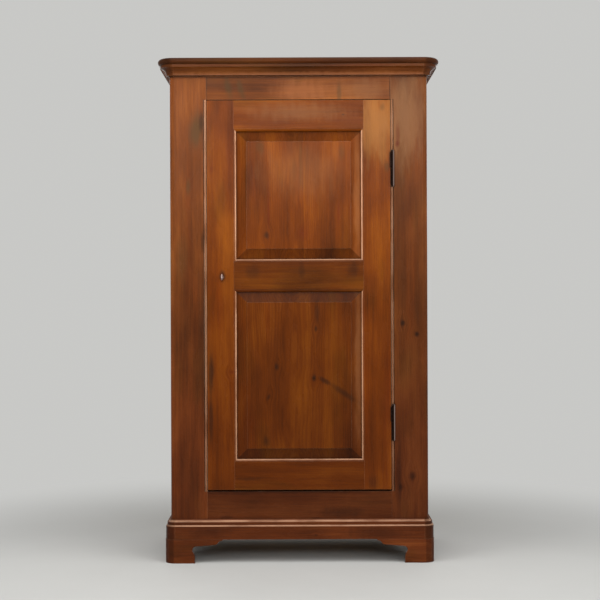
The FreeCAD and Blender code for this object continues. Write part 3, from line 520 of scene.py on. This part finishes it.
def make_metals():
    return SimpleNamespace(
        black=metal("black_iron", base=srgb(40, 26, 20), blotch=srgb(24, 15, 12),
                    worn_and_highlight=srgb(196, 172, 164), roughness=0.38, side_wear=0.72),
        filed=metal("filed_iron", base=srgb(96, 88, 82), blotch=srgb(56, 46, 42),
                    worn_and_highlight=srgb(150, 140, 132), roughness=0.45),
        bright=metal("bright_steel", base=srgb(194, 168, 160), blotch=srgb(140, 116, 106),
                     worn_and_highlight=srgb(222, 202, 194), roughness=0.34),
        dull=metal("dull_steel", base=srgb(120, 112, 106), blotch=srgb(74, 64, 60),
                   worn_and_highlight=srgb(170, 160, 152), roughness=0.40))


# ---------------------------------------------------------------- what each piece is made of

# The marks that the photograph shows. Each has the pixel of its middle, and its size in metres.
# Some are painted light and shade, as said at each.
MARKS = {
    "frame_stile_left": [
        stain(pixel=(196, 130), width=0.046, length=0.110, strength=0.75, colour=OLIVE),
        stain(pixel=(201, 122), width=0.014, length=0.070, strength=0.60),
        stain(pixel=(188, 187), width=0.016, length=0.050, strength=0.50, colour=OLIVE),
        stain(pixel=(203, 243), width=0.012, length=0.080, strength=0.60),
        stain(pixel=(203, 330), width=0.014, length=0.400, strength=0.40),
        stain(pixel=(181, 260), width=0.040, length=0.160, strength=0.35, colour=OLIVE),
    ],
    "frame_top_rail": [
        # Painted sheen: a peach and a sandy patch lighten the middle of the rail.
        stain(pixel=(300, 90), width=0.180, length=0.060, strength=0.35, colour=PAINTED_PEACH_SHEEN),
        stain(pixel=(365, 90), width=0.160, length=0.080, strength=0.35, colour=PAINTED_SAND_SHEEN),
        stain(pixel=(228, 87), width=0.022, length=0.090, strength=0.70, colour=OLIVE, lean=12),
        stain(pixel=(241, 89), width=0.020, length=0.080, strength=0.65, colour=OLIVE, lean=14),
        stain(pixel=(339, 92), width=0.014, length=0.080, strength=0.50, colour=OLIVE),
        stain(pixel=(390, 88), width=0.005, length=0.100, strength=0.75),
        stain(pixel=(206, 88), width=0.008, length=0.090, strength=0.50),
    ],
    "frame_stile_right": [
        # Painted sheen on the stile's upper part.
        stain(pixel=(405, 115), width=0.150, length=0.330, strength=0.75, colour=PAINTED_SAND_SHEEN),
        stain(pixel=(398, 134), width=0.014, length=0.070, strength=0.50, colour=RUST),
        knot(pixel=(397.6, 143.5), width=0.014, strength=0.7, colour=RUST),
        knot(pixel=(403, 323), width=0.017, strength=0.85, stretch=1.2),
        knot(pixel=(417, 334), width=0.014, strength=0.9, stretch=1.3),
        knot(pixel=(413, 476), width=0.020, strength=0.7),
        knot(pixel=(401, 487), width=0.016, strength=0.6),
        stain(pixel=(399, 470), width=0.018, length=0.300, strength=0.45),
    ],
    "frame_bottom_rail": [
        stain(pixel=(342, 512), width=0.150, length=0.036, strength=0.45),
        stain(pixel=(317, 519), width=0.040, length=0.012, strength=0.50),
        stain(pixel=(227, 518), width=0.050, length=0.018, strength=0.45),
        # Painted shade: a dark band along the rail under the door's bottom gap.
        stain(pixel=(299, 491.5), width=0.900, length=0.012, strength=0.50),
    ],
    "door_stile_lock": [
        knot(pixel=(232, 372), width=0.020, strength=0.55, stretch=0.8, colour=RUST),
        stain(pixel=(211, 375), width=0.020, length=0.170, strength=0.75),
        # Painted shadow: a dark patch round the key in the lock.
        stain(pixel=(222.5, 276.5), width=0.022, length=0.036, strength=0.85),
        stain(pixel=(211, 420), width=0.014, length=0.160, strength=0.60),
        stain(pixel=(211, 170), width=0.014, length=0.030, strength=0.35, colour=RUST),
    ],
    "door_stile_hinge": [
        stain(pixel=(377, 124), width=0.150, length=0.230, strength=0.45, colour=HONEY),
        stain(pixel=(382, 107), width=0.020, length=0.026, strength=0.40, colour=OLIVE),
        stain(pixel=(387, 167), width=0.018, length=0.034, strength=0.50, colour=OLIVE),
        stain(pixel=(373, 483), width=0.040, length=0.050, strength=0.35),
        stain(pixel=(388, 420), width=0.030, length=0.500, strength=0.30, colour=RUST),
    ],
    "door_rail_top": [
        knot(pixel=(343, 114.5), width=0.010, strength=0.7, stretch=0.6),
        # Painted sheen across the rail.
        stain(pixel=(300, 112), width=0.300, length=0.060, strength=0.40, colour=PAINTED_SAND_SHEEN),
    ],
    "door_rail_middle": [
        stain(pixel=(253, 272), width=0.050, length=0.050, strength=0.35),
        stain(pixel=(353, 269), width=0.040, length=0.060, strength=0.45),
        stain(pixel=(302, 270), width=0.020, length=0.060, strength=0.35),
    ],
    "door_rail_bottom": [
        stain(pixel=(250, 479), width=0.080, length=0.012, strength=0.35),
    ],
    "door_panel_upper": [
        # Painted light on the panel's right bevel.
        stain(pixel=(358, 195), width=0.028, length=0.420, strength=0.55, colour=PAINTED_AMBER_LIGHT),
        knot(pixel=(266.5, 235), width=0.018, strength=0.75, stretch=1.4),
        stain(pixel=(268.5, 210), width=0.008, length=0.180, strength=0.50, colour=RUST),
        stain(pixel=(303, 233), width=0.040, length=0.050, strength=0.45, colour=RUST),
        stain(pixel=(338.5, 213), width=0.007, length=0.080, strength=0.50, colour=RUST),
        stain(pixel=(260, 147), width=0.030, length=0.040, strength=0.40, colour=OLIVE),
        stain(pixel=(342, 152), width=0.022, length=0.060, strength=0.40, colour=OLIVE),
        stain(pixel=(301, 165), width=0.014, length=0.120, strength=0.45, colour=OLIVE),
        # Painted sheen on the upper part of the panel.
        stain(pixel=(303, 172), width=0.260, length=0.160, strength=0.22, colour=PAINTED_SAND_SHEEN),
    ],
    "door_panel_lower": [
        # Painted light on the panel's right bevel.
        stain(pixel=(359, 365), width=0.030, length=0.560, strength=0.75, colour=PAINTED_AMBER_LIGHT),
        knot(pixel=(276.5, 367), width=0.014, strength=0.75, stretch=1.7),
        knot(pixel=(269, 397), width=0.012, strength=0.6, stretch=1.8, lean=-25),
        knot(pixel=(314, 378), width=0.016, strength=0.9, stretch=1.5),
        knot(pixel=(316, 329), width=0.012, strength=0.65, stretch=1.6),
        stain(pixel=(317, 312), width=0.014, length=0.070, strength=0.40),
        stain(pixel=(325, 381), width=0.016, length=0.050, strength=0.65, lean=60),
        stain(pixel=(344, 393), width=0.020, length=0.110, strength=0.55, lean=56),
        stain(pixel=(266, 441), width=0.022, length=0.036, strength=0.50),
    ],
    "cornice_front": [
        # Painted highlight along the cornice's lower lip.
        stain(pixel=(299, 74.5), width=1.400, length=0.014, strength=0.55, colour=PAINTED_PEACH_SHEEN),
    ],
    "base_front": [
        knot(pixel=(316, 534), width=0.012, strength=0.6, stretch=0.7),
        stain(pixel=(378, 532), width=0.200, length=0.040, strength=0.35),
        stain(pixel=(205, 532), width=0.160, length=0.030, strength=0.35),
    ],
}

# Where boards are glued edge to edge, by their place across the grain. The photograph shows the
# joins of the two panels, at these pixels.
UPPER_JOIN_PIXEL = (303.5, 190)
LOWER_JOIN_PIXEL = (310.5, 370)
JOINS = {
    "door_panel_upper": [on_face(*UPPER_JOIN_PIXEL)[0]],
    "door_panel_lower": [on_face(*LOWER_JOIN_PIXEL)[0]],
    "side_left": [-0.09, 0.11],
    "side_right": [-0.07, 0.12],
    "top_board": [-0.03],
}

# How light a piece is against the others, by the start of its name. The first that fits counts.
TONES = {
    "frame_top_rail": 0.94,
    "frame_bottom_rail": 0.74,
    "frame_stile_left": 1.10,
    "frame_stile_right": 0.82,
    "door_rail_top": 0.95,
    "door_rail_middle": 0.66,
    "door_rail_bottom": 0.88,
    "door_stile_hinge": 1.05,
    "door_panel_upper": 1.08,
    "door_panel_lower": 0.80,
    "cornice": 0.66,
    # Painted shade: the top board is set darker, for the shade on the cap.
    "top_board": 0.42,
    "base_front": 1.14,
    "base": 0.78,
    "foot": 1.12,
    "back_board_1": 0.90,
    "back_board_3": 0.84,
    "shelf_1": 0.92,
    "shelf_3": 0.95,
}

# The kinds of pieces, by the starts of their names. Where two kinds fit, the first one counts.
METAL_PIECES = ("hinge", "lock")

BARE_PIECES = ("back_board", "shelf", "bottom_board", "door_stop", "foot_glue")
DULLER_PIECES = ("side", "cornice_side", "base_side", "foot_fore_side", "foot_rear_side")
BROWNER_PIECES = ("frame", "cornice", "top_board", "base", "foot")

LEVEL_SIDE_PIECES = ("cornice_side", "base_side", "foot_fore", "foot_rear", "shelf_cleat")
UPRIGHT_SIDE_PIECES = ("side_",)
LEVEL_PIECES = ("frame_top", "frame_bottom", "door_rail", "cornice", "base", "foot_front",
                "door_stop")
FLAT_PIECES = ("shelf", "bottom_board", "top_board")

# A cloth rubs the mouldings of the base, and those of the door and its frame, and they carry
# painted highlights, to a little beyond the base's front run and the door's opening, where they
# face up by at least so much.
UNRUBBED_UNHIGHLIT_PIECES = ("cornice", "top_board", "side", "foot")
BASE_REACH = 0.1
BASE_LEAST_UP = 0.15
DOOR_REACH = 0.03
DOOR_LEAST_UP = -0.35

FIRST_SEED = 3


def grain_of(node):
    """The way that the grain of a piece runs, from the kind of piece that it is."""
    if node.startswith(LEVEL_SIDE_PIECES):
        return LEVEL_SIDE
    if node.startswith(UPRIGHT_SIDE_PIECES):
        return UPRIGHT_SIDE
    if node.startswith(LEVEL_PIECES):
        return LEVEL
    return FLAT if node.startswith(FLAT_PIECES) else UPRIGHT


def look_of(node):
    if node.startswith(BARE_PIECES):
        return BARE
    if node.startswith(DULLER_PIECES):
        return DULLER
    return BROWNER if node.startswith(BROWNER_PIECES) else VARNISHED


def tone_of(node):
    return next((tone for start, tone in TONES.items() if node.startswith(start)), 1.0)


def rubbed_and_lit_of(node):
    """Where a piece's mouldings are worn light and carry painted highlights: within a half-width of
    the middle, and where they face up by at least so much. The cornice, the sides and the feet keep
    their colour."""
    if node.startswith("base"):
        half_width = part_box("base_front")[1].x + BASE_REACH
        return SimpleNamespace(half_width=half_width, least_up=BASE_LEAST_UP)
    if node.startswith(UNRUBBED_UNHIGHLIT_PIECES):
        return SimpleNamespace(half_width=0.0, least_up=0.0)
    half_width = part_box("frame_stile_right")[0].x + DOOR_REACH
    return SimpleNamespace(half_width=half_width, least_up=DOOR_LEAST_UP)


def metal_of(node, metals):
    if node == "lock_key":
        return metals.bright
    if node.endswith("pin"):
        return metals.dull
    return metals.black if node.startswith("hinge") else metals.filed


def put_on(piece, material):
    piece.data.materials.clear()
    piece.data.materials.append(material)
    for polygon in piece.data.polygons:
        polygon.material_index = 0


def dress_wood():
    wooden = [node for node in sorted(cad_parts) if not node.startswith(METAL_PIECES)]
    for seed, node in enumerate(wooden, start=FIRST_SEED):
        material = wood(f"{node}_wood", look_of(node), grain_of(node), seed,
                        MARKS.get(node, ()), JOINS.get(node, ()), tone_of(node), rubbed_and_lit_of(node))
        put_on(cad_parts[node], material)


def dress_metal(metals):
    for node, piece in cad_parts.items():
        if node.startswith(METAL_PIECES):
            put_on(piece, metal_of(node, metals))


# ---------------------------------------------------------------- screws

HEAD_SEGMENTS = 20
HEAD_HEIGHT = 0.0005
SLOT_HALF = 0.00045

# A head's outline from its rim to the middle, as shares of its radius and of its height, and the
# disc at the bottom of its slot.
HEAD_PROFILE = ((1.0, 0.0), (1.0, 0.35), (0.8, 0.85), (0.5, 1.0))
SLOT_FLOOR_RADIUS = 0.97
SLOT_FLOOR_HEIGHT = 0.3

# The lengths of the iron that the screws' places hang on, as in the CAD.
LEAF_HEIGHT = 0.054
LEAF_SETBACK = 0.003
LEAF_THICKNESS = 0.002
PLATE_THICKNESS = 0.0015
LOCK_FLANGE = 0.008
KEEPER_EAR = 0.012

# A leaf's screws stand so far above and below its middle, and so far from its back edge.
LEAF_SCREW_RISE = 0.015
LEAF_SCREW_INSET = 0.008
LEAF_SCREW_RADIUS = 0.0034
LOCK_SCREW_RADIUS = 0.0030
KEEPER_SCREW_RADIUS = 0.0034

# Slots stand as the screwdriver left them: turned on from screw to screw by so many degrees, and
# on a leaf also by so many for each letter of its name.
LEAF_TURN = 37
LETTER_TURN = 61
LOCK_TURN = 47
KEEPER_TURN = 71


def add_half_head(vertices, faces, radius, side):
    """One half of a domed head, from its rim to the middle, with an upright wall along the slot."""
    first = len(vertices)
    count = HEAD_SEGMENTS // 2 + 1
    for radius_share, height_share in HEAD_PROFILE:
        ring_radius = radius_share * radius
        start = math.asin(SLOT_HALF / ring_radius)
        for step in range(count):
            angle = start + (math.pi - 2 * start) * step / (count - 1)
            x, y = ring_radius * math.cos(angle), ring_radius * math.sin(angle)
            vertices.append((side * x, side * y, height_share * HEAD_HEIGHT))
    for ring in range(len(HEAD_PROFILE) - 1):
        for step in range(count - 1):
            low = first + ring * count + step
            faces.append((low, low + 1, low + 1 + count, low + count))
    last_ring = first + (len(HEAD_PROFILE) - 1) * count
    faces.append(tuple(range(last_ring, last_ring + count)))
    faces.append(tuple(range(first + count - 1, first - 1, -1)))
    near_side = [first + ring * count for ring in range(len(HEAD_PROFILE))]
    far_side = [start + count - 1 for start in reversed(near_side)]
    faces.append(tuple(far_side + near_side)[::-1])


def add_slot_floor(vertices, faces, radius):
    """The thin disc that shows at the bottom of the slot."""
    first = len(vertices)
    floor_radius = SLOT_FLOOR_RADIUS * radius
    for height in (0.0, SLOT_FLOOR_HEIGHT * HEAD_HEIGHT):
        for step in range(HEAD_SEGMENTS):
            angle = 2 * math.pi * step / HEAD_SEGMENTS
            x, y = floor_radius * math.cos(angle), floor_radius * math.sin(angle)
            vertices.append((x, y, height))
    for step in range(HEAD_SEGMENTS):
        low = first + step
        follow = first + (step + 1) % HEAD_SEGMENTS
        faces.append((low, follow, follow + HEAD_SEGMENTS, low + HEAD_SEGMENTS))
    faces.append(tuple(range(first + HEAD_SEGMENTS, first + 2 * HEAD_SEGMENTS)))
    faces.append(tuple(range(first + HEAD_SEGMENTS - 1, first - 1, -1)))


def screw_head(name, centre, facing, radius, turn, body, material):
    """A slotted screw head on a plate, its slot turned by that many degrees."""
    vertices, faces = [], []
    add_half_head(vertices, faces, radius, 1)
    add_half_head(vertices, faces, radius, -1)
    add_slot_floor(vertices, faces, radius)
    standing = Vector(facing).to_track_quat("Z", "Y").to_matrix()
    turning = standing @ Matrix.Rotation(math.radians(turn), 3, "Z")
    placed = [turning @ Vector(vertex) + Vector(centre) for vertex in vertices]
    mesh = bpy.data.meshes.new(name)
    mesh.from_pydata(placed, [], faces)
    mesh.materials.append(material)
    head = bpy.data.objects.new(name, mesh)
    bpy.context.scene.collection.objects.link(head)
    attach(head, body)


def make_leaf_screws(metals):
    """Two screws through each hinge leaf, seen in the edges of the door and the opening."""
    for place in ("upper", "lower"):
        frame_low, frame_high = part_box(f"hinge_{place}_frame_leaf")
        door_low, door_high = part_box(f"hinge_{place}_door_leaf")
        to_middle = LEAF_SETBACK + LEAF_HEIGHT / 2
        leaves = (
            ("frame", "case", frame_low.x, -1, frame_high.y, frame_high.z - to_middle),
            ("door", "door", door_low.x + LEAF_THICKNESS, 1, door_high.y, door_low.z + to_middle),
        )
        for leaf, body, x, facing, back, middle in leaves:
            for number, rise in enumerate((-LEAF_SCREW_RISE, LEAF_SCREW_RISE), start=1):
                screw_head(
                    f"hinge_{place}_{leaf}_screw_{number}",
                    centre=(x, back - LEAF_SCREW_INSET, middle + rise), facing=(facing, 0, 0),
                    radius=LEAF_SCREW_RADIUS,
                    turn=LEAF_TURN * number + LETTER_TURN * len(place + leaf),
                    body=body, material=metals.dull)


def make_lock_screws(metals):
    """Four screws in the ears of the lock case, and two in those of its keeper."""
    low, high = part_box("lock_case")
    corners = [(x, z) for x in (low.x + LOCK_FLANGE, high.x - LOCK_FLANGE)
               for z in (low.z + LOCK_FLANGE / 2, high.z - LOCK_FLANGE / 2)]
    for number, (x, z) in enumerate(corners, start=1):
        screw_head(
            f"lock_screw_{number}", centre=(x, low.y + PLATE_THICKNESS, z), facing=(0, 1, 0),
            radius=LOCK_SCREW_RADIUS, turn=LOCK_TURN * number,
            body="door", material=metals.dull)
    low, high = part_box("lock_keeper")
    middle = (low.x + high.x) / 2
    for number, z in enumerate((low.z + KEEPER_EAR / 2, high.z - KEEPER_EAR / 2), start=1):
        screw_head(
            f"keeper_screw_{number}", centre=(middle, low.y + PLATE_THICKNESS, z),
            facing=(0, 1, 0), radius=KEEPER_SCREW_RADIUS, turn=KEEPER_TURN * number,
            body="case", material=metals.dull)


# ---------------------------------------------------------------- studio

BACKGROUND = (0.58, 0.58, 0.565, 1)
WORLD_LIGHT = (1, 1, 1, 1)
WORLD_STRENGTH = 0.16

# The floor is plain near the cabinet and melts into the background between these distances.
FLOOR_HALF = 30
FLOOR_DARKER = (0.50, 0.50, 0.48, 1)
FLOOR_LIGHTER = (0.56, 0.56, 0.54, 1)
FLOOR_SPECKLE = dict(scales=(2.2, 2.2, 2.2), detail=5, roughness=0.6)
FLOOR_MELT = (0.7, 2.1)


def softbox(name, place, target, size, radiance, mirrored=True):
    """A rectangular lamp that looks as bright as a white card lit at the level of radiance.

    One that isn't mirrored lights the wood without showing in its varnish at a glancing angle.
    """
    width, height = size
    light = bpy.data.lights.new(name, "AREA")
    light.shape = "RECTANGLE"
    light.size = width
    light.size_y = height
    light.energy = radiance * math.pi * width * height
    lamp = bpy.data.objects.new(name, light)
    lamp.location = place
    lamp.rotation_euler = (Vector(target) - lamp.location).to_track_quat("-Z", "Y").to_euler()
    lamp.visible_camera = False
    lamp.visible_glossy = mirrored
    bpy.context.scene.collection.objects.link(lamp)


def hang_lamps():
    softbox("left_box", place=(-2.0, -1.55, 2.0), target=(0, -1.55, 2.0),
            size=(2.4, 2.6), radiance=2.9, mirrored=False)
    softbox("right_box", place=(2.0, -2.6, 2.0), target=(0, -2.6, 2.0),
            size=(4.4, 2.6), radiance=2.9, mirrored=False)
    softbox("top_box", place=(0, -1.5, 3.5), target=(0, -0.6, 0.8),
            size=(2.6, 1.8), radiance=3.2)
    softbox("front_box", place=(0, -5.8, 2.42), target=(0, -0.2, 1.4),
            size=(4.0, 1.0), radiance=4.8)
    softbox("rear_box", place=(0, 3.0, 2.7), target=(0, 0.2, 1.2),
            size=(5.0, 3.0), radiance=1.3)


def looked_at(tree):
    """1 for rays that show a background: those of the camera, of mirrors and of glass."""
    path = tree.nodes.new("ShaderNodeLightPath").outputs
    seen = path["Is Camera Ray"]
    for kind in ("Is Glossy Ray", "Is Transmission Ray"):
        either = tree.nodes.new("ShaderNodeMath")
        either.operation = "MAXIMUM"
        tree.links.new(seen, either.inputs[0])
        tree.links.new(path[kind], either.inputs[1])
        seen = either.outputs[0]
    return seen


def make_world():
    """A world that shows as the pale background and lights the cabinet only a little."""
    world = bpy.data.worlds.new("studio")
    bpy.context.scene.world = world
    world.use_nodes = True
    tree = world.node_tree
    tree.nodes.clear()
    fill = tree.nodes.new("ShaderNodeBackground")
    fill.inputs["Color"].default_value = WORLD_LIGHT
    fill.inputs["Strength"].default_value = WORLD_STRENGTH
    pale = tree.nodes.new("ShaderNodeBackground")
    pale.inputs["Color"].default_value = BACKGROUND
    either = tree.nodes.new("ShaderNodeMixShader")
    output = tree.nodes.new("ShaderNodeOutputWorld")
    tree.links.new(looked_at(tree), either.inputs[0])
    tree.links.new(fill.outputs[0], either.inputs[1])
    tree.links.new(pale.outputs[0], either.inputs[2])
    tree.links.new(either.outputs[0], output.inputs[0])


def floor_material():
    shade = Shade("pale_floor")
    axes = shade.place()
    speckle = shade.noise(shade.vector(*axes.values()), **FLOOR_SPECKLE)
    colour = shade.mix(speckle, FLOOR_DARKER, FLOOR_LIGHTER)
    solid = shade.node("ShaderNodeBsdfDiffuse", {"Color": colour}).outputs[0]
    haze = shade.node("ShaderNodeEmission", {"Color": BACKGROUND}).outputs[0]
    squares = shade.math("MULTIPLY_ADD", axes["X"], axes["X"],
                         shade.math("MULTIPLY", axes["Y"], axes["Y"]))
    far = shade.span(shade.math("SQRT", squares), *FLOOR_MELT)
    melting = shade.math("MULTIPLY", far, looked_at(shade.tree))
    both = shade.node("ShaderNodeMixShader", {0: melting, 1: solid, 2: haze})
    return shade.finish(both.outputs[0])


def make_floor():
    """A wide floor that takes the cabinet's shadow."""
    quarters = ((-1, -1), (1, -1), (1, 1), (-1, 1))
    corners = [(x * FLOOR_HALF, y * FLOOR_HALF, 0) for x, y in quarters]
    mesh = bpy.data.meshes.new("floor")
    mesh.from_pydata(corners, [], [(0, 1, 2, 3)])
    mesh.materials.append(floor_material())
    floor = bpy.data.objects.new("floor", mesh)
    bpy.context.scene.collection.objects.link(floor)


def set_up_camera():
    data = bpy.data.cameras.new("camera")
    data.sensor_width = SENSOR_WIDTH
    data.lens = FOCAL_LENGTH / PHOTO_SIDE * SENSOR_WIDTH
    camera = bpy.data.objects.new("camera", data)
    camera.location = (EYE_SIDE, FACE_Y - EYE_DISTANCE, EYE_HEIGHT)
    camera.rotation_euler = (LEVEL_TILT, ROLL, 0)
    bpy.context.scene.collection.objects.link(camera)
    bpy.context.scene.camera = camera
    bpy.context.scene.view_settings.view_transform = "Standard"


metals = make_metals()
dress_wood()
dress_metal(metals)
make_leaf_screws(metals)
make_lock_screws(metals)
make_world()
make_floor()
hang_lamps()
set_up_camera()
